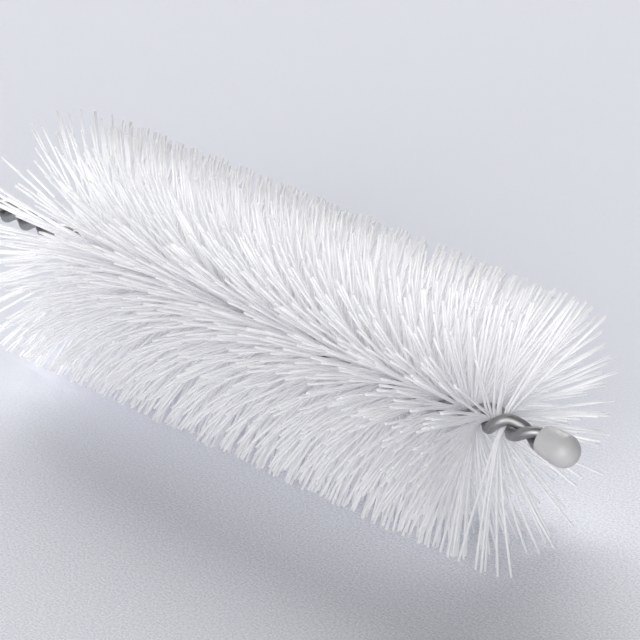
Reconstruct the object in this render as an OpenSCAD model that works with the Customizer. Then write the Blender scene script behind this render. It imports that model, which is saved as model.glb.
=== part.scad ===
// Twisted-wire bottle brush, lying level on its bristles.
// One steel wire is folded in half and twisted; its fold is the hanging loop.
// Each nylon filament is one rod, clamped at its middle between the two legs of
// the wire. It bends where it leaves them, so that it makes two bristles.
// +X runs from the loop to the ball, +Z is up, and the floor is z = 0.

/* [Brush head] */
// Diameter over the trimmed bristle tips
brush_d = 50; // [40:1:60]
// Turns of the wire that carry bristles
head_turns = 10; // [6:1:12]
// Diameter of one nylon filament
filament_d = 0.5; // [0.4:0.02:0.6]
// Length that a filament is cut to before the brush is trimmed round
filament_len = 54; // [50:1:64]
// Gap between neighbouring filaments along the wire
filament_gap = 0.08; // [0.06:0.01:0.3]
// Most that the trimming leaves a bristle short
trim_scatter = 1.2; // [0:0.1:2]
// Depth by which the bristles below the brush give way under its weight
settle = 0.8; // [0.4:0.1:1.5]

/* [Bristle lean] */
// Lean of the last bristles at the handle end, in degrees towards the ball
lean_handle_end = -32; // [-52:1:-26]
// Lean of the bristles in the middle of the head
lean_middle = -13; // [-24:1:0]
// Lean of the last bristles at the ball end
lean_ball_end = 19; // [4:1:24]
// Length over which the splay of the handle end dies away
splay_handle_len = 8; // [8:1:24]
// Length over which the splay of the ball end dies away
splay_ball_len = 40; // [12:1:48]
// Widest angle by which a bristle fans out round its leg of the wire
fan_max = 18; // [4:1:20]
// Degrees of lean that each degree of fan brings with it
fan_lean = 0.25; // [0.1:0.05:0.35]

/* [Wire] */
// Diameter of the steel wire
wire_d = 2.1; // [1.6:0.1:2.3]
// Length of one full turn of the twist
pitch = 11; // [9:0.5:14]
// Gap between the two legs where the wire carries no bristles
leg_gap = 0.06; // [0.04:0.01:0.2]
// Clearance between the wire and the filaments that it clamps
clamp_gap = 0.08; // [0.06:0.01:0.12]
// Bare twisted wire between the loop and the bristles
stem_len = 91.5; // [60:0.5:110]
// Bare twisted wire between the bristles and the ball
nose_len = 8.5; // [5:0.5:14]

/* [Hanging loop] */
// Width of the hanging loop, outside the wire
loop_w = 23; // [18:1:32]
// Bend radius where the legs part below the loop
neck_bend_r = 9; // [6:1:14]

/* [Tip ball] */
// Largest diameter of the ball at the tip
ball_d = 6; // [6:0.2:10]
// Length of the ball along the wire
ball_len = 7.6; // [7.6:0.2:12]
// Wall round the bore at the ball's flat back, were the bore in its middle
ball_back_wall = 0.45; // [0.4:0.05:0.6]
// Depth to which the wire's ends sit in the ball
ball_grip = 3.4; // [2.4:0.2:3.6]
// Degrees by which the ball droops from the line of the wire
ball_droop = 6; // [0:1:8]
// Height of the ball's middle over the line of the wire, at its flat back
ball_rise = 0.3; // [0:0.05:0.3]
// Clearance round the wire's ends in the ball's bore
bore_gap = 0.05; // [0.03:0.01:0.15]

/* [Hidden] */

$fn = 48;
wire_sides = 8;        // faces round the wire
rings_per_turn = 12;   // rings of the sweep in one turn of the twist
loop_rings = 26;       // steps of the sweep round the loop
ease_len = 4;          // length over which the twist starts at the neck
close_len = 2.5;       // length over which the legs close up beside the bristles
fan_min = 1.5;         // least fan, which parts the two filaments of a pair
scatter_seed = 7;

wire_r = wire_d / 2;
brush_r = brush_d / 2;
ball_r = ball_d / 2;
bare_r = (wire_d + leg_gap) / 2;                    // axis to a leg, bare wire
head_r = wire_r + filament_d + 1.5 * clamp_gap;     // the same, round filaments
bore_r = bare_r + wire_r + bore_gap;                // bore of the ball

// Stations along the wire, from the first bristles at the handle end
neck_x = -stem_len;
head_len = head_turns * pitch;
ball_x = head_len + nose_len;
tip_x = ball_x + (ball_len - ball_r) * cos(ball_droop) + ball_r;
wire_end_x = ball_x + ball_grip;

// Each leg bends out at the neck and meets the round of the loop
loop_r = loop_w / 2 - wire_r;
loop_turn = acos((bare_r + neck_bend_r) / (loop_r + neck_bend_r));
loop_centre_x = neck_x - (loop_r + neck_bend_r) * sin(loop_turn);
loop_end_x = loop_centre_x - loop_w / 2;

// Filaments lie in pairs, one against each leg, and bend clear of the wire
pair_r = (filament_d + clamp_gap) / 2;
pairs_per_turn = floor(pitch / (filament_d + filament_gap));
pair_step = pitch / pairs_per_turn;
bend_r = head_r + wire_r + filament_d / 2;

axis_height = brush_r - settle;
middle_x = (loop_end_x + tip_x) / 2;

function turn_name(turn) = str("bristles_turn_", turn < 10 ? "0" : "", turn);
function unit(v) = v / norm(v);
function smooth(t) = let (u = min(1, max(0, t))) u * u * (3 - 2 * u);

// ---- The wire ----

// Angle of the twist at station x; it starts from rest at the neck of the loop
function twist(x) =
    let (run = x - neck_x)
    -360 / pitch * (run > ease_len ? run - ease_len / 2 : run * run / (2 * ease_len));

// Distance of a leg's centre from the axis, wider where filaments are clamped
function leg_r(x) =
    bare_r + (head_r - bare_r)
        * smooth((x + close_len) / close_len)
        * smooth((head_len + close_len - x) / close_len);

function outward(x) = [0, cos(twist(x)), sin(twist(x))];
function leg_point(x, leg) = [x, 0, 0] + leg * leg_r(x) * outward(x);

// A frame for one ring of a sweep: [centre, outward direction, third direction]
function ring_frame(centre, along, out) =
    let (square_out = unit(out - (out * along) * along))
    [centre, square_out, cross(along, square_out)];

// The sweep runs towards the loop on leg 1 and away from it on leg -1
function leg_frame(x, leg) =
    let (nearby = pitch / rings_per_turn / 4)
    ring_frame(
        leg_point(x, leg),
        leg * unit(leg_point(x - nearby, leg) - leg_point(x + nearby, leg)),
        leg * outward(x)
    );

function leg_frames(from, to, leg) =
    let (steps = ceil(abs(to - from) / pitch * rings_per_turn))
    [for (i = [0 : steps]) leg_frame(from + (to - from) * i / steps, leg)];

// Frame where a leg has turned outwards by the given angle at the neck
function neck_frame(turned, leg) = ring_frame(
    [neck_x - neck_bend_r * sin(turned),
     leg * (bare_r + neck_bend_r * (1 - cos(turned))),
     0],
    [-leg * cos(turned), sin(turned), 0],
    [sin(turned), leg * cos(turned), 0]
);

// Frame on the round of the loop, at an angle counted from +Y through -X
function round_frame(angle) =
    let (out = [-sin(angle), cos(angle), 0])
    ring_frame([loop_centre_x, 0, 0] + loop_r * out, cross(out, [0, 0, -1]), out);

// Frames from one leg round the loop to the other
function loop_frames() =
    let (
        bend = neck_bend_r * loop_turn,
        round = loop_r * (180 + 2 * loop_turn),
        whole = 2 * bend + round
    )
    [
        for (i = [1 : loop_rings - 1])
            let (run = whole * i / loop_rings)
            run < bend ? neck_frame(run / neck_bend_r, 1)
            : run > bend + round ? neck_frame((whole - run) / neck_bend_r, -1)
            : round_frame((run - bend) / loop_r - loop_turn)
    ];

// Round bar through a list of ring frames, with flat ends
module bar(frames, radius) {
    last = len(frames) - 1;
    points = [
        for (frame = frames, side = [0 : wire_sides - 1])
            let (angle = 360 * side / wire_sides)
            frame[0] + radius * (cos(angle) * frame[1] + sin(angle) * frame[2])
    ];
    walls = [
        for (ring = [0 : last - 1], side = [0 : wire_sides - 1])
            let (
                here = ring * wire_sides,
                there = here + wire_sides,
                next = (side + 1) % wire_sides
            )
            each [
                [here + side, here + next, there + next],
                [here + side, there + next, there + side]
            ]
    ];
    ends = [
        [for (side = [wire_sides - 1 : -1 : 0]) side],
        [for (side = [0 : wire_sides - 1]) last * wire_sides + side]
    ];
    polyhedron(points, concat(walls, ends), convexity = 10);
}

module twisted_wire() {
    frames = concat(
        leg_frames(wire_end_x, neck_x, 1),
        loop_frames(),
        leg_frames(neck_x, wire_end_x, -1)
    );
    color("#8f9296") bar(frames, wire_r);
}

// ---- The ball ----

// Half outline, back down: a round nose on a body that an arc narrows to its flat
// back
module ball_outline() {
    widest_x = ball_len - ball_r;
    taper = ball_r - bore_r - ball_back_wall;
    taper_r = (widest_x * widest_x + taper * taper) / (2 * taper);
    intersection() {
        translate([ball_r - taper_r, widest_x]) circle(r = taper_r);
        square([ball_r, widest_x]);
    }
    intersection() {
        translate([0, widest_x]) circle(r = ball_r);
        translate([0, widest_x]) square(ball_r);
    }
}

module tip_ball() {
    $fn = 120;
    // The square ends of the legs lean with the twist, so a corner goes deeper
    leg_slope = atan(360 / pitch * PI / 180 * bare_r);
    bore_depth = ball_grip + wire_r * sin(leg_slope) + bore_gap;
    color("#cfcdcb") translate([ball_x, 0, 0]) difference() {
        translate([0, 0, ball_rise]) rotate([0, 90 + ball_droop, 0])
            rotate_extrude() ball_outline();
        rotate([0, 90, 0]) translate([0, 0, -ball_grip])
            cylinder(r = bore_r, h = ball_grip + bore_depth);
    }
}

// ---- The bristles ----

// Lean of the bristles at station x, which opens out to both ends of the head
function lean(x) =
    lean_middle
        + (lean_handle_end - lean_middle) * exp(-x / splay_handle_len)
        + (lean_ball_end - lean_middle) * exp((x - head_len) / splay_ball_len);

// Way through the gap between the legs at station x
function across(x) = [0, -sin(twist(x)), cos(twist(x))];

// Direction of a bristle on one side of the wire. It leans, and it fans out
// round its own leg; bristles that fan towards each other lean apart
function bristle_way(x, leg, side, fan) =
    let (tilt = lean(x) - side * leg * fan_lean * fan)
    [sin(tilt), 0, 0]
        + cos(tilt) * (side * cos(fan) * across(x) + leg * sin(fan) * outward(x));

// Length of a bristle from its bend to the trimmed round of the brush, less
// what the trimming took, or to the floor
function bristle_len(bend, way, short) =
    let (
        reach = [bend[1], bend[2]],
        rise = [way[1], way[2]],
        inwards = (reach * rise) / (rise * rise),
        spare = (brush_r * brush_r - reach * reach) / (rise * rise),
        trimmed = sqrt(inwards * inwards + spare) - inwards,
        cut = filament_len / 2 - bend_r,
        drop = -way[2],
        foot = filament_d / 2 * sqrt(1 - drop * drop),
        to_floor = drop > 0 ? (axis_height + bend[2] - foot) / drop : cut
    )
    min(min(trimmed, cut) - short, to_floor);

// Rod from the origin that leans from +Z towards +X, cut off square to Z there
module mitred_rod(length, lean) {
    intersection() {
        rotate([0, lean, 0]) translate([0, 0, -filament_d])
            cylinder(d = filament_d, h = length + filament_d);
        translate([-length, -length, 0]) cube(2 * length);
    }
}

// The half of a filament above z = 0: straight to its bend, then a bristle.
// Its two stretches mirror each other in the plane of the mitre
module half_filament(bristle, bend) {
    intersection() {
        translate([0, 0, bend_r]) rotate([0, bend / 2, 0]) {
            mirror([0, 0, 1]) mitred_rod(bend_r + filament_d, bend / 2);
            mitred_rod(bristle, bend / 2);
        }
        translate([-filament_len, -filament_len, 0]) cube(2 * filament_len);
    }
}

// One filament, from the directions and the lengths of its two bristles
module filament(root, ways, bristles) {
    chord = unit(ways[0] - ways[1]);
    bow = unit(ways[0] + ways[1]);
    third = cross(chord, bow);
    bend = acos(ways[0] * chord);
    multmatrix([
        [bow[0], third[0], chord[0], root[0]],
        [bow[1], third[1], chord[1], root[1]],
        [bow[2], third[2], chord[2], root[2]]
    ]) {
        half_filament(bristles[0], bend);
        mirror([0, 0, 1]) half_filament(bristles[1], bend);
    }
}

// Two filaments side by side between the legs of the wire
module filament_pair(number) {
    x = (number + 0.5) * pair_step;
    for (leg = [1, -1]) {
        scatter = rands(0, 1, 3, scatter_seed + 2 * number + (leg > 0 ? 0 : 1));
        fan = fan_min + (fan_max - fan_min) * scatter[0];
        root = [x, 0, 0] + leg * pair_r * outward(x);
        ways = [for (side = [1, -1]) bristle_way(x, leg, side, fan)];
        chord = unit(ways[0] - ways[1]);
        bristles = [
            for (end = [0, 1])
                bristle_len(root + (1 - 2 * end) * bend_r * chord, ways[end],
                            trim_scatter * scatter[1 + end])
        ];
        filament(root, ways, bristles);
    }
}

module bristles_turn(turn) {
    color("#eef0f5")
    for (number = [(turn - 1) * pairs_per_turn : turn * pairs_per_turn - 1])
        filament_pair(number);
}

// ---- The brush at rest ----

module at_rest() {
    translate([-middle_x, 0, axis_height]) children();
}

at_rest() twisted_wire();
at_rest() tip_ball();
for (turn = [1 : head_turns])
    at_rest() bristles_turn(turn);
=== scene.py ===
"""A white nylon bottle brush on its twisted steel wire, lying on a pale floor.

Sizes are in metres. +X runs from the hanging loop to the ball, +Z is up and the
floor is z = 0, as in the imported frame.
"""
import math

import bpy
import numpy as np
from mathutils import Matrix, Vector


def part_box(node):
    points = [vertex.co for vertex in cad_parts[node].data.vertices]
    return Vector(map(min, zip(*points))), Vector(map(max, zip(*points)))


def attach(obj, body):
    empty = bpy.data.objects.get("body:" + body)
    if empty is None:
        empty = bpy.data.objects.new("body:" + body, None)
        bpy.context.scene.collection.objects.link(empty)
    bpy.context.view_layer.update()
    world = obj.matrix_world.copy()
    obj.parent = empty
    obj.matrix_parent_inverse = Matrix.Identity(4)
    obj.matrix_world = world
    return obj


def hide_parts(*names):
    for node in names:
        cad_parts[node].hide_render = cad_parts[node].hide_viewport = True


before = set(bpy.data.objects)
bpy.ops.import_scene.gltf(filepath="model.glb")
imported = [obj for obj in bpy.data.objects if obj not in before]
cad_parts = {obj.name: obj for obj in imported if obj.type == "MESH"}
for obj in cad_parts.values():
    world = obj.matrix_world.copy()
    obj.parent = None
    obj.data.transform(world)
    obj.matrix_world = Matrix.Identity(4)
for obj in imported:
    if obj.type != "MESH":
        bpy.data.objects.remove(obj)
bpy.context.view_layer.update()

MM = 0.001

# ---- Sizes of the brush, as in the part's source ----
WIRE_R = 1.05 * MM
PITCH = 11 * MM             # one full turn of the twist
LEG_GAP = 0.06 * MM         # between the two legs, where the wire is bare
CLAMP_GAP = 0.08 * MM       # between the wire and the filaments in it
EASE = 4 * MM               # over which the twist starts at the neck
CLOSE = 2.5 * MM            # over which the legs close up beside the bristles
STEM = 91.5 * MM
NOSE = 8.5 * MM             # bare wire between the bristles and the ball
LOOP_W = 23 * MM
NECK_BEND_R = 9 * MM
BALL_R = 3 * MM
BALL_LEN = 7.6 * MM
BALL_GRIP = 3.4 * MM        # depth to which the wire's ends sit in the ball
BALL_WALL = 0.45 * MM       # round the bore, were the bore in its middle
BALL_DROOP = math.radians(6)
BALL_RISE = 0.3 * MM        # of the ball's back, over the line of the wire
BORE_GAP = 0.05 * MM
FILAMENT_R = 0.25 * MM
BRUSH_R = 25 * MM
FILAMENT_REACH = 27 * MM    # from the wire's axis, before the trim
TRIM_SCATTER = 1.2 * MM     # most that the trimming leaves a bristle short
LEAN_HANDLE, LEAN_MIDDLE, LEAN_BALL = -32, -13, 19      # degrees towards the ball
SPLAY_HANDLE, SPLAY_BALL = 8 * MM, 40 * MM  # over which the lean of each end dies away
FAN_LEAN = 0.25             # degrees of lean that each degree of fan brings with it

# ---- Places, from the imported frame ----
TURNS = sorted(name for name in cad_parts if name.startswith("bristles_turn"))
WIRE_LOW, WIRE_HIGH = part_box("twisted_wire")
AXIS_Z = (WIRE_LOW.z + WIRE_HIGH.z) / 2
HEAD_LEN = len(TURNS) * PITCH

BARE_R = WIRE_R + LEG_GAP / 2                   # axis to a leg, bare wire
HEAD_R = WIRE_R + 2 * FILAMENT_R + 1.5 * CLAMP_GAP      # the same, round filaments
BORE_R = BARE_R + WIRE_R + BORE_GAP             # bore of the ball
PAIR_R = FILAMENT_R + CLAMP_GAP / 2             # axis to a filament against its leg
BEND_R = HEAD_R + WIRE_R + FILAMENT_R           # axis to where a filament bends
LOOP_R = LOOP_W / 2 - WIRE_R
LOOP_TURN = math.acos((BARE_R + NECK_BEND_R) / (LOOP_R + NECK_BEND_R))
LOOP_X = WIRE_LOW.x + LOOP_W / 2                # centre of the loop
NECK_X = LOOP_X + (LOOP_R + NECK_BEND_R) * math.sin(LOOP_TURN)
HEAD_X = NECK_X + STEM                          # first bristles at the handle end
BALL_X = HEAD_X + HEAD_LEN + NOSE               # flat back of the ball

SEED = 11
rng = np.random.default_rng(SEED)


# ---- View and light ----
VIEW_ELEVATION = math.radians(25.4)
VIEW_TURN = math.radians(-45.45)        # azimuth of the camera, from +X towards +Y
VIEW_DISTANCE = 0.616
LENS = 203.6                            # focal length in millimetres
CLIP_START = 0.01                       # nearest that the camera sees
BALL_OFFSET = (38.0 * MM, -20.6 * MM)   # of the ball's back from the picture's middle
KEY_ELEVATION = math.radians(29)
KEY_TURN = math.radians(141)            # it comes from behind the brush
KEY_SPREAD = math.radians(50)
KEY_STRENGTH = 3.0
FILL_ELEVATION = math.radians(17)
FILL_TURN = math.radians(-58)           # a little to the left of the camera
FILL_SPREAD = math.radians(50)
FILL_STRENGTH = 2.5
SKY_STRENGTH = 0.19
SKY_COLOUR = (0.95, 0.96, 1.0, 1)
BACKDROP_COLOUR = (0.70, 0.71, 0.77, 1)     # that the camera sees past the floor
LIGHT_BOUNCES = 16                      # light passes many strands of nylon
STRAND_CROSSINGS = 32                   # clear surfaces that one ray may pass
FLOOR_WIDTH = 6.0


def direction(turn, elevation):
    level = math.cos(elevation)
    return Vector((level * math.cos(turn), level * math.sin(turn), math.sin(elevation)))


# ---- Node materials ----
def node(tree, kind, inputs=None, **settings):
    """A node; inputs are {name or number: value or the socket that it comes from}."""
    made = tree.nodes.new(kind)
    for name, value in settings.items():
        setattr(made, name, value)
    for name, value in (inputs or {}).items():
        if isinstance(value, bpy.types.NodeSocket):
            tree.links.new(value, made.inputs[name])
        else:
            made.inputs[name].default_value = value
    return made


def new_material(name):
    made = bpy.data.materials.new(name)
    made.use_nodes = True
    tree = made.node_tree
    tree.nodes.clear()
    return made, tree


def ramp(tree, value, stops):
    """A colour ramp between two stops, which are (position, colour or grey)."""
    made = node(tree, "ShaderNodeValToRGB", {"Fac": value})
    for element, (position, colour) in zip(made.color_ramp.elements, stops):
        element.position = position
        grey = not isinstance(colour, tuple)
        element.color = (colour, colour, colour, 1) if grey else (*colour, 1)
    return made.outputs["Color"]


def noise(tree, vector, scale, detail=3, roughness=0.5):
    made = node(
        tree, "ShaderNodeTexNoise",
        {"Vector": vector, "Scale": scale, "Detail": detail, "Roughness": roughness},
    )
    return made.outputs["Fac"]


def bump(tree, height, depth):
    inputs = {"Height": height, "Strength": 1.0, "Distance": depth}
    return node(tree, "ShaderNodeBump", inputs).outputs["Normal"]


def mixed(tree, share, first, second, blend="MIX"):
    """The second colour over the first, by a share."""
    made = node(
        tree, "ShaderNodeMix", {"Factor": share, "A": first, "B": second},
        data_type="RGBA", blend_type=blend,
    )
    return made.outputs[2]


def steel_material():
    """Drawn wire: fine lines run along it, and its finish clouds a little."""
    made, tree = new_material("drawn_steel")
    drawn = node(tree, "ShaderNodeAttribute", attribute_name="drawn")
    place = node(tree, "ShaderNodeTexCoord").outputs["Object"]
    lines = noise(tree, drawn.outputs["Vector"], scale=7, detail=6, roughness=0.65)
    clouds = noise(tree, place, scale=420)
    dull = ramp(tree, lines, [(0.3, (0.27, 0.27, 0.275)), (0.7, (0.40, 0.40, 0.405))])
    bright = ramp(tree, lines, [(0.3, (0.36, 0.355, 0.355)), (0.7, (0.50, 0.495, 0.495))])
    shader = node(
        tree, "ShaderNodeBsdfPrincipled",
        {
            "Base Color": mixed(tree, clouds, dull, bright),
            "Metallic": 1.0,
            "Roughness": ramp(tree, clouds, [(0.3, 0.42), (0.7, 0.58)]),
            "Normal": bump(tree, lines, depth=0.012 * MM),
        },
    )
    node(tree, "ShaderNodeOutputMaterial", {"Surface": shader.outputs["BSDF"]})
    return made


def ball_material():
    """Moulded white plastic, softly glossy, with a faint cloudiness."""
    made, tree = new_material("moulded_plastic")
    place = node(tree, "ShaderNodeTexCoord").outputs["Object"]
    clouds = noise(tree, place, scale=300)
    skin = noise(tree, place, scale=2600, detail=5, roughness=0.6)
    shader = node(
        tree, "ShaderNodeBsdfPrincipled",
        {
            "Base Color": ramp(
                tree, clouds, [(0.3, (0.51, 0.505, 0.505)), (0.7, (0.565, 0.56, 0.56))]
            ),
            "Roughness": ramp(tree, skin, [(0.3, 0.28), (0.7, 0.40)]),
            "Specular IOR Level": 0.45,
            "Subsurface Weight": 0.12,
            "Subsurface Radius": (1.0, 0.9, 0.8),
            "Subsurface Scale": 1.2 * MM,
            "Normal": bump(tree, skin, depth=0.006 * MM),
        },
    )
    node(tree, "ShaderNodeOutputMaterial", {"Surface": shader.outputs["BSDF"]})
    return made


SHARE_THROUGH = 0.5     # of the light on a strand, that passes into it


def nylon_material():
    """Milky monofilament: it passes light, strands differ, and a painted shade darkens the
    roots.
    """
    made, tree = new_material("nylon_filament")
    strand = node(tree, "ShaderNodeAttribute", attribute_name="strand").outputs["Fac"]
    reach = node(tree, "ShaderNodeAttribute", attribute_name="reach").outputs["Fac"]
    place = node(tree, "ShaderNodeTexCoord").outputs["Object"]
    clouds = noise(tree, place, scale=900)
    by_strand = ramp(tree, strand, [(0, (0.988, 0.987, 0.997)), (1, (0.997, 0.996, 0.999))])
    # Painted shade: the roots, deep in the brush by the wire, are a little darker than the
    # tips.
    root_shade = ramp(tree, reach, [(0.02, (0.985, 0.985, 0.99)), (0.3, (1.0, 1.0, 1.0))])
    colour = mixed(tree, 1.0, by_strand, root_shade, blend="MULTIPLY")
    surface = node(
        tree, "ShaderNodeBsdfPrincipled",
        {
            "Base Color": colour,
            "Roughness": ramp(tree, clouds, [(0.3, 0.34), (0.7, 0.5)]),
            "Specular IOR Level": 0.4,
        },
    )
    through = node(tree, "ShaderNodeBsdfTranslucent", {"Color": colour})
    milky = node(
        tree, "ShaderNodeMixShader",
        {0: SHARE_THROUGH, 1: surface.outputs["BSDF"], 2: through.outputs["BSDF"]},
    )
    # Light is scattered where it enters a strand, and leaves it freely
    leaving = node(tree, "ShaderNodeNewGeometry").outputs["Backfacing"]
    clear = node(tree, "ShaderNodeBsdfTransparent")
    strand_shader = node(
        tree, "ShaderNodeMixShader",
        {0: leaving, 1: milky.outputs["Shader"], 2: clear.outputs["BSDF"]},
    )
    node(tree, "ShaderNodeOutputMaterial", {"Surface": strand_shader.outputs["Shader"]})
    return made


GRAIN_FADES = (-20 * MM, 70 * MM)   # from none to full, measured towards the camera


def floor_material():
    """Pale blue-grey sheet, whose fine grain fades behind the brush."""
    made, tree = new_material("pale_floor")
    place = node(tree, "ShaderNodeTexCoord").outputs["Object"]
    grain = noise(tree, place, scale=2300, roughness=0.75)
    forward = node(
        tree, "ShaderNodeVectorMath", {0: place, 1: direction(VIEW_TURN, 0)},
        operation="DOT_PRODUCT",
    ).outputs["Value"]
    near = node(
        tree, "ShaderNodeMapRange",
        {"Value": forward, "From Min": GRAIN_FADES[0], "From Max": GRAIN_FADES[1]},
        interpolation_type="SMOOTHSTEP",
    ).outputs["Result"]
    even = (0.79, 0.802, 0.87, 1)
    grained = ramp(tree, grain, [(0.3, (0.56, 0.57, 0.635)), (0.7, (0.96, 0.97, 1.0))])
    shader = node(
        tree, "ShaderNodeBsdfPrincipled",
        {
            "Base Color": mixed(tree, near, even, grained),
            "Roughness": 0.75,
            "Specular IOR Level": 0.2,
            "Normal": bump(tree, grain, depth=0.12 * MM),
        },
    )
    node(tree, "ShaderNodeOutputMaterial", {"Surface": shader.outputs["BSDF"]})
    return made


# ---- Mesh helpers ----
def new_piece(name, points, faces, material, attributes):
    """A mesh object, smooth on its quads, with point attributes {name: (kind, values)}."""
    mesh = bpy.data.meshes.new(name)
    mesh.from_pydata(points, [], faces)
    for key, (kind, values) in attributes.items():
        layer = mesh.attributes.new(key, kind, "POINT")
        field = "vector" if kind == "FLOAT_VECTOR" else "value"
        layer.data.foreach_set(field, np.asarray(values, np.float32).ravel())
    mesh.polygons.foreach_set("use_smooth", [len(face) == 4 for face in faces])
    mesh.materials.append(material)
    piece = bpy.data.objects.new(name, mesh)
    bpy.context.scene.collection.objects.link(piece)
    return piece


def normalised(vectors):
    return vectors / np.linalg.norm(vectors, axis=-1, keepdims=True)


def tube_faces(rings, sides):
    """Faces of one tube: quads along it and a flat face at each end."""
    faces = [
        (
            ring * sides + side,
            ring * sides + (side + 1) % sides,
            (ring + 1) * sides + (side + 1) % sides,
            (ring + 1) * sides + side,
        )
        for ring in range(rings - 1)
        for side in range(sides)
    ]
    last = (rings - 1) * sides
    faces.append(tuple(range(sides - 1, -1, -1)))
    faces.append(tuple(range(last, last + sides)))
    return faces


# ---- The twisted wire ----
WIRE_SIDES = 20
RINGS_PER_TURN = 28
LOOP_RINGS = 110
DRAWN_LINE = 12 * MM        # length of the marks that the drawing leaves on the wire


def twist(x):
    """Angle of the twist, in radians; it starts from rest at the neck."""
    run = x - NECK_X
    turned = run - EASE / 2 if run > EASE else run * run / (2 * EASE)
    return -2 * math.pi / PITCH * turned


def smooth(t):
    """Eases from 0 to 1 as t does, and stays there beyond them."""
    t = min(1.0, max(0.0, t))
    return t * t * (3 - 2 * t)


def leg_r(x):
    """Distance of a leg's centre from the axis, wider where filaments are clamped."""
    head_x = x - HEAD_X
    opened = smooth((head_x + CLOSE) / CLOSE) * smooth((HEAD_LEN + CLOSE - head_x) / CLOSE)
    return BARE_R + (HEAD_R - BARE_R) * opened


def outward(x):
    """Way from the axis to leg 1 at station x."""
    angle = twist(x)
    return np.array([0, math.cos(angle), math.sin(angle)])


def across(x):
    """Way through the gap between the legs at station x."""
    angle = twist(x)
    return np.array([0, -math.sin(angle), math.cos(angle)])


def on_axis(x):
    return np.array([x, 0, AXIS_Z])


def leg_stations(start, end, leg):
    """Centres and outward directions along one twisted leg."""
    steps = math.ceil(abs(end - start) / PITCH * RINGS_PER_TURN)
    for x in np.linspace(start, end, steps + 1):
        yield on_axis(x) + leg * leg_r(x) * outward(x), leg * outward(x)


def loop_stations():
    """The same, from one leg round the loop to the other."""
    bend = NECK_BEND_R * LOOP_TURN
    whole = 2 * bend + LOOP_R * (math.pi + 2 * LOOP_TURN)
    for step in range(1, LOOP_RINGS):
        run = whole * step / LOOP_RINGS
        if bend <= run <= whole - bend:
            angle = (run - bend) / LOOP_R - LOOP_TURN
            out = np.array([-math.sin(angle), math.cos(angle), 0])
            yield on_axis(LOOP_X) + LOOP_R * out, out
            continue
        leg = 1 if run < bend else -1
        angle = min(run, whole - run) / NECK_BEND_R
        side = BARE_R + NECK_BEND_R * (1 - math.cos(angle))
        centre = on_axis(NECK_X - NECK_BEND_R * math.sin(angle))
        yield centre + [0, leg * side, 0], np.array([math.sin(angle), leg * math.cos(angle), 0])


def make_wire():
    end_x = BALL_X + BALL_GRIP
    stations = [
        *leg_stations(end_x, NECK_X, 1),
        *loop_stations(),
        *leg_stations(NECK_X, end_x, -1),
    ]
    centres = np.array([centre for centre, _ in stations])
    outs = np.array([out for _, out in stations])
    along = normalised(np.gradient(centres, axis=0))
    outs = normalised(outs - (outs * along).sum(1, keepdims=True) * along)
    thirds = np.cross(along, outs)
    angles = np.linspace(0, 2 * math.pi, WIRE_SIDES, endpoint=False)
    circle = np.stack([np.cos(angles), np.sin(angles)], 1)
    points = centres[:, None] + WIRE_R * (
        circle[None, :, :1] * outs[:, None] + circle[None, :, 1:] * thirds[:, None]
    )
    length = np.concatenate([[0], np.linalg.norm(np.diff(centres, axis=0), axis=1).cumsum()])
    drawn = np.empty((len(centres), WIRE_SIDES, 3))
    drawn[:, :, :2] = circle[None]
    drawn[:, :, 2] = (length / DRAWN_LINE)[:, None]
    piece = new_piece(
        "drawn_wire", points.reshape(-1, 3).tolist(), tube_faces(len(centres), WIRE_SIDES),
        steel_material(), {"drawn": ("FLOAT_VECTOR", drawn)},
    )
    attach(piece, "root")
    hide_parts("twisted_wire")


# ---- The ball ----
BALL_SIDES = 64
BORE_SHOWN = 0.6 * MM       # depth of the bore that shows; the wire goes on into the ball
SIDE_START = 0.5 * MM       # of the ball's side, past the rounded rim
RIM_STEPS, SIDE_STEPS, NOSE_STEPS = 9, 14, 16


def ball_profile():
    """(distance along the ball, radius) from the bore's mouth to the nose."""
    widest = BALL_LEN - BALL_R
    back_r = BORE_R + BALL_WALL
    rim = BALL_WALL / 2
    taper = BALL_R - back_r
    taper_r = (widest ** 2 + taper ** 2) / (2 * taper)
    yield BORE_SHOWN, 0.0
    yield BORE_SHOWN, BORE_R
    for angle in np.linspace(0, math.pi, RIM_STEPS):
        yield rim * (1 - math.sin(angle)), BORE_R + rim * (1 - math.cos(angle))
    for x in np.linspace(SIDE_START, widest, SIDE_STEPS):
        yield x, BALL_R - taper_r + math.sqrt(taper_r ** 2 - (widest - x) ** 2)
    for angle in np.linspace(0, math.pi / 2, NOSE_STEPS)[1:]:
        yield widest + BALL_R * math.sin(angle), BALL_R * math.cos(angle)


def make_ball():
    sides = BALL_SIDES
    profile = list(ball_profile())
    angles = np.linspace(0, 2 * math.pi, sides, endpoint=False)
    points = [(profile[0][0], 0, 0)]
    for x, radius in profile[1:-1]:
        points += [(x, radius * math.cos(a), radius * math.sin(a)) for a in angles]
    points.append((profile[-1][0], 0, 0))
    rings, nose = len(profile) - 2, len(points) - 1
    droop = Matrix.Rotation(BALL_DROOP, 3, "Y")
    place = Vector((BALL_X, 0, AXIS_Z + BALL_RISE))
    points = [place + droop @ Vector(point) for point in points]
    faces = [(0, 1 + (s + 1) % sides, 1 + s) for s in range(sides)]
    for ring in range(rings - 1):
        first = 1 + ring * sides
        faces += [
            (first + s, first + (s + 1) % sides,
             first + sides + (s + 1) % sides, first + sides + s)
            for s in range(sides)
        ]
    last = 1 + (rings - 1) * sides
    faces += [(last + s, last + (s + 1) % sides, nose) for s in range(sides)]
    piece = new_piece("moulded_ball", points, faces, ball_material(), {})
    piece.data.polygons.foreach_set("use_smooth", [True] * len(faces))
    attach(piece, "root")
    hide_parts("tip_ball")


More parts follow.
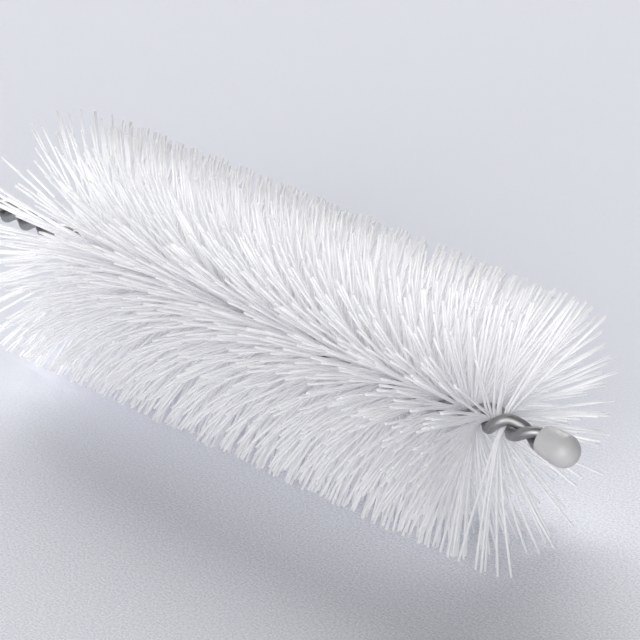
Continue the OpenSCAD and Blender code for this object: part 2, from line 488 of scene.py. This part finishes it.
# ---- The bristles, which are many more than in the solids ----
FILAMENTS_PER_TURN = 140
STRAND_SIDES = 6
LAYERS = (0.6, 1.0)                     # distances from the axis in the clamp, by PAIR_R
TUFT_STEP = 0.9 * MM                    # bristles in a tuft are trimmed alike
OWN_SHORT = 0.4                         # share of the trim that is a bristle's own
END_DENSITY = 0.2                       # of the filaments at the very ends, to the rest
THIN_HANDLE, THIN_BALL = PITCH, 0.55 * PITCH    # over which the head thins to its ends
FAN_LEAST, FAN_MOST = 1.5, 15           # degrees
FAN_SCATTER = 1.5                       # degrees
LEAN_SCATTER = 0.8                      # degrees
BRISTLE_STEPS = (0, 0.06, 0.22, 0.48, 0.74, 1.0)    # rings, by a bristle's length
BOW = 0.14                              # how much of a bristle's lean comes late
CURL = 0.01225                          # usual sideways bend of a bristle, by its length
ASIDE = 0.5                             # how far a bristle on the floor slides aside
ASIDE_SCATTER = 0.3                     # by which some of them slide the other way

tuft_short = rng.random((math.ceil(HEAD_LEN / TUFT_STEP) + 1, 2, 2)) ** 2


def lean(x):
    """Lean of the bristles at station x, in radians towards the ball."""
    from_start, to_end = x - HEAD_X, HEAD_X + HEAD_LEN - x
    return math.radians(
        LEAN_MIDDLE
        + (LEAN_HANDLE - LEAN_MIDDLE) * math.exp(-from_start / SPLAY_HANDLE)
        + (LEAN_BALL - LEAN_MIDDLE) * math.exp(-to_end / SPLAY_BALL)
    )


def trimmed_length(root, way):
    """Length from root, along way, to the trimmed round of the brush."""
    from_axis, rise = root[1:] - [0, AXIS_Z], way[1:]
    inwards = from_axis @ rise / (rise @ rise)
    spare = (BRUSH_R ** 2 - from_axis @ from_axis) / (rise @ rise)
    return min(math.sqrt(inwards ** 2 + spare) - inwards, FILAMENT_REACH - BEND_R)


def bristle_points(root, chord, way, short):
    """Centres of one bristle, from its bend to its tip.

    One that would end below the floor is lifted to it and slides aside.
    """
    length = trimmed_length(root, way) - TRIM_SCATTER * short
    side = normalised(np.cross(way, rng.normal(size=3)))
    curl = CURL * length * rng.normal()
    early = (chord - way) * BOW * length
    t = np.array(BRISTLE_STEPS)[:, None]
    points = root + way * length * t + early * t * (1 - t) + side * curl * t ** 2
    sunk = FILAMENT_R - points[-1, 2]
    if sunk > 0:
        aside = math.copysign(math.sqrt(sunk * length), way[1] + ASIDE_SCATTER * rng.normal())
        points += t ** 2 * [0, ASIDE * aside, sunk]
    return points


def filament_points(x, leg, layer):
    """Centres of one filament from tip to tip, bent at the wire's surface."""
    fan = FAN_LEAST + (FAN_MOST - FAN_LEAST) * rng.random()
    root = on_axis(x) + leg * PAIR_R * outward(x) * layer
    ways = []
    for side in (1, -1):
        turned = math.radians(fan + FAN_SCATTER * rng.normal())
        own_lean = LEAN_SCATTER * rng.normal() - side * leg * FAN_LEAN * fan
        tilt = lean(x) + math.radians(own_lean)
        ways.append(
            np.array([math.sin(tilt), 0, 0])
            + math.cos(tilt) * (
                side * math.cos(turned) * across(x) + leg * math.sin(turned) * outward(x)
            )
        )
    chord = normalised(ways[0] - ways[1])
    tuft = tuft_short[int((x - HEAD_X) / TUFT_STEP), (leg + 1) // 2]
    short = tuft * (1 - OWN_SHORT) + OWN_SHORT * rng.random(2) ** 2
    first = bristle_points(root + BEND_R * chord, chord, ways[0], short[0])
    second = bristle_points(root - BEND_R * chord, -chord, ways[1], short[1])
    third = normalised(np.cross(chord, ways[0] + ways[1]))
    return np.concatenate([first[::-1], root[None], second]), third


def thinned(x):
    """True for a filament that is left out, where the head thins towards its ends."""
    from_start, to_end = x - HEAD_X, HEAD_X + HEAD_LEN - x
    full = smooth(from_start / THIN_HANDLE) * smooth(to_end / THIN_BALL)
    return rng.random() > END_DENSITY + (1 - END_DENSITY) * full


def make_turn(name, number, material):
    """All the filaments that one turn of the wire clamps, as one piece."""
    start = HEAD_X + number * PITCH
    centres, thirds = [], []
    for index in range(FILAMENTS_PER_TURN):
        x = start + PITCH * (index + rng.random()) / FILAMENTS_PER_TURN
        if thinned(x):
            continue
        line, third = filament_points(x, 1 if index % 2 else -1, LAYERS[index // 2 % 2])
        centres.append(line)
        thirds.append(third)
    centres, thirds = np.array(centres), np.array(thirds)
    count, rings = centres.shape[:2]
    along = normalised(np.gradient(centres, axis=1))
    thirds = np.broadcast_to(thirds[:, None], centres.shape)
    thirds = normalised(thirds - (thirds * along).sum(2, keepdims=True) * along)
    bows = np.cross(along, thirds)
    angles = np.linspace(0, 2 * math.pi, STRAND_SIDES, endpoint=False)
    points = centres[:, :, None] + FILAMENT_R * (
        np.cos(angles)[None, None, :, None] * thirds[:, :, None]
        + np.sin(angles)[None, None, :, None] * bows[:, :, None]
    )
    pattern = tube_faces(rings, STRAND_SIDES)
    faces = [
        tuple(first + corner for corner in face)
        for first in range(0, count * rings * STRAND_SIDES, rings * STRAND_SIDES)
        for face in pattern
    ]
    steps = np.array(BRISTLE_STEPS)
    reach = np.concatenate([steps[::-1], [0], steps])
    reach = np.broadcast_to(reach[None, :, None], points.shape[:3])
    strand = np.broadcast_to(rng.random(count)[:, None, None], points.shape[:3])
    piece = new_piece(
        name.replace("bristles", "nylon"), points.reshape(-1, 3).tolist(), faces, material,
        {"reach": ("FLOAT", reach), "strand": ("FLOAT", strand)},
    )
    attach(piece, "root")
    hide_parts(name)


# ---- Floor, light and camera ----
def make_floor():
    half = FLOOR_WIDTH / 2
    mesh = bpy.data.meshes.new("floor")
    corners = [(-half, -half, 0), (half, -half, 0), (half, half, 0), (-half, half, 0)]
    mesh.from_pydata(corners, [], [(0, 1, 2, 3)])
    mesh.materials.append(floor_material())
    floor = bpy.data.objects.new("floor", mesh)
    bpy.context.scene.collection.objects.link(floor)


def make_lamp(name, turn, elevation, spread, strength):
    sun = bpy.data.lights.new(name, "SUN")
    sun.energy = strength
    sun.angle = spread
    lamp = bpy.data.objects.new(name, sun)
    lamp.rotation_euler = direction(turn, elevation).to_track_quat("Z", "Y").to_euler()
    bpy.context.scene.collection.objects.link(lamp)


def make_light():
    make_lamp("key", KEY_TURN, KEY_ELEVATION, KEY_SPREAD, KEY_STRENGTH)
    make_lamp("fill", FILL_TURN, FILL_ELEVATION, FILL_SPREAD, FILL_STRENGTH)

    world = bpy.data.worlds.new("studio")
    bpy.context.scene.world = world
    world.use_nodes = True
    tree = world.node_tree
    tree.nodes.clear()
    rays = node(tree, "ShaderNodeLightPath")
    lit = node(tree, "ShaderNodeBackground", {"Color": SKY_COLOUR, "Strength": SKY_STRENGTH})
    seen = node(tree, "ShaderNodeBackground", {"Color": BACKDROP_COLOUR, "Strength": 1.0})
    both = node(
        tree, "ShaderNodeMixShader",
        {0: rays.outputs["Is Camera Ray"], 1: lit.outputs[0], 2: seen.outputs[0]},
    )
    node(tree, "ShaderNodeOutputWorld", {"Surface": both.outputs[0]})


def make_camera():
    towards = direction(VIEW_TURN, VIEW_ELEVATION)
    right = Vector((0, 0, 1)).cross(towards).normalized()
    up = towards.cross(right)
    ball = Vector((BALL_X, 0, AXIS_Z))
    aim = ball - right * BALL_OFFSET[0] - up * BALL_OFFSET[1]
    data = bpy.data.cameras.new("camera")
    data.lens = LENS
    data.clip_start = CLIP_START
    camera = bpy.data.objects.new("camera", data)
    camera.location = aim + towards * VIEW_DISTANCE
    camera.rotation_euler = towards.to_track_quat("Z", "Y").to_euler()
    bpy.context.scene.collection.objects.link(camera)
    bpy.context.scene.camera = camera


make_camera()
make_wire()
make_ball()
nylon = nylon_material()
for number, name in enumerate(TURNS):
    make_turn(name, number, nylon)
make_floor()
make_light()
bpy.context.scene.view_settings.view_transform = "Standard"
cycles = bpy.context.scene.cycles
cycles.max_bounces = cycles.transmission_bounces = cycles.diffuse_bounces = LIGHT_BOUNCES
cycles.transparent_max_bounces = STRAND_CROSSINGS
